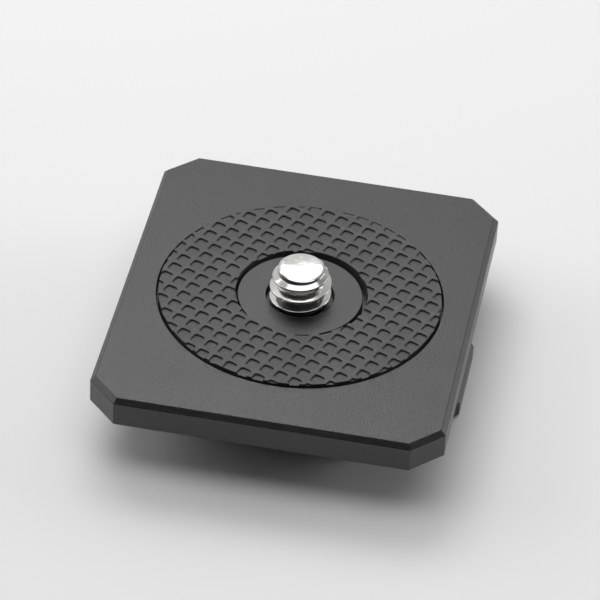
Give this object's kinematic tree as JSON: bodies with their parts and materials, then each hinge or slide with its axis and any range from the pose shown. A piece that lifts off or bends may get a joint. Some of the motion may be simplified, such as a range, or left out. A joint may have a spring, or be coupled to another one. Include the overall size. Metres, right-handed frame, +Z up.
{
  "type": "quick-release camera plate",
  "caption": "Rectangular quick-release camera plate with cut corners, a dovetail foot, an embossed rubber grip ring and a captive camera screw turned by a folding wire bail.",
  "frame": {"origin": "centre of the plate's box at the foot's lower face, on the camera screw's axis", "axes": "+Z up along the camera screw, +Y along the plate's longer side, which is the way the dovetail slides, +X across it"},
  "size_m": [0.036, 0.0412, 0.0126],
  "materials": {
    "anodised_plate": "fine bead-blasted, black anodised, satin",
    "grip_rubber": "embossed with a lattice of square pits, matt",
    "plated_screw": "bright nickel plate on steel",
    "bail_wire": "drawn spring wire, lightly polished"
  },
  "bodies": {
    "plate": {"plate": "anodised_plate", "grip_ring": "grip_rubber"},
    "screw": {"camera_screw": "plated_screw"},
    "bail": {"screw_bail": "bail_wire"}
  },
  "joints": [
    {"name": "screw_spin", "type": "hinge", "parent": "plate", "child": "screw", "pos_m": [0, 0, 0.006], "axis": [0, 0, 1], "continuous": true},
    {"name": "bail_fold", "type": "hinge", "parent": "screw", "child": "bail", "pos_m": [0, 0, 0.0031], "axis": [1, 0, 0], "range_deg": [0, 180]}
  ]
}
